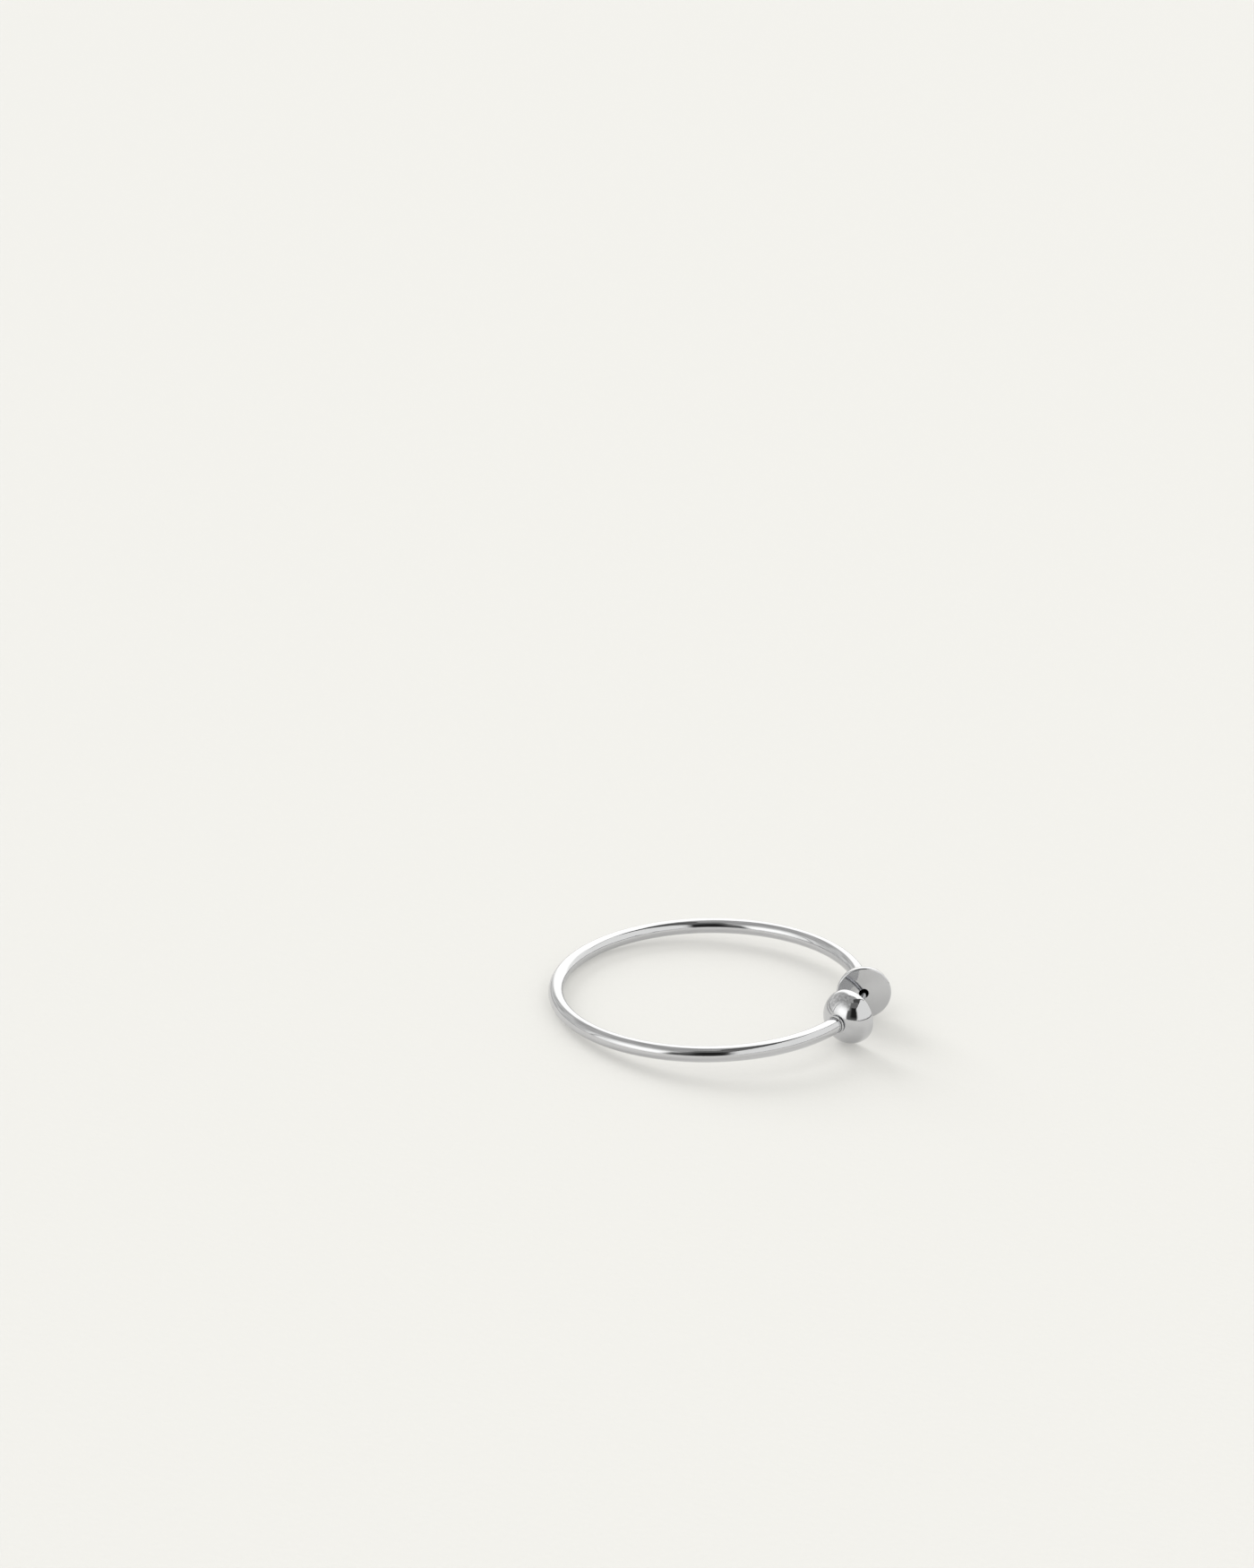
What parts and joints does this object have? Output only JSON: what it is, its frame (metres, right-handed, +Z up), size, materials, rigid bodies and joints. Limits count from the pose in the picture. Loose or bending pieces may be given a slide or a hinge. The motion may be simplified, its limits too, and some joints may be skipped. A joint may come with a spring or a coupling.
{
  "type": "hoop earring",
  "caption": "Large polished hoop earring: a round tube with a flat-faced half ball on each end and a curved ear post across the gap.",
  "frame": {"origin": "on the surface that the earring lies on, under the middle of its box", "axes": "+X from the hoop's far side to its ear gap, +Y from the front half ball to the back one, +Z up"},
  "size_m": [0.0538, 0.051, 0.0087],
  "materials": {
    "tube_silver": "polished silver with very fine lines along the tube",
    "dome_silver": "mirror polished silver",
    "post_silver": "drawn silver wire, lightly polished"
  },
  "bodies": {
    "root": {"hoop_tube": "tube_silver", "front_collar": "tube_silver", "back_collar": "tube_silver", "front_dome": "dome_silver", "back_dome": "dome_silver", "ear_post": "post_silver"}
  },
  "joints": []
}
